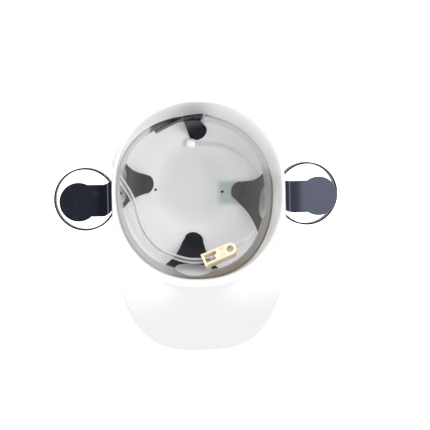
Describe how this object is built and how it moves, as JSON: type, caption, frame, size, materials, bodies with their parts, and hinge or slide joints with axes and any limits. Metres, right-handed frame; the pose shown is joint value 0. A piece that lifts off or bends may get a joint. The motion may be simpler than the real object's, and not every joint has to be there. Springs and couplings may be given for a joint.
{
  "type": "drinking hat",
  "caption": "Hard hat shell with a peak, an inner headband, a can holder on each side, and a drinking tube with a clamp and a mouthpiece.",
  "frame": {"origin": "centre of the small flat on top of the crown, on which the hat rests upside down", "axes": "+Z out of the head opening, +Y towards the rear and -Y towards the peak, +X towards the wearer's left"},
  "size_m": [0.3198, 0.2817, 0.1303],
  "materials": {
    "shell_white": "smooth injection moulded",
    "band_black": "smooth, with duller tab tips",
    "holder_navy": "smooth, softly glossy",
    "tube_clear": "clear soft hose",
    "mouthpiece_white": "smooth",
    "clamp_cream": "satin, slightly see-through"
  },
  "bodies": {
    "root": {"shell": "shell_white", "headband": "band_black", "can_holder_left": "holder_navy", "can_holder_right": "holder_navy", "drinking_tube": "tube_clear", "mouthpiece": "mouthpiece_white", "tube_clamp": "clamp_cream"}
  },
  "joints": []
}
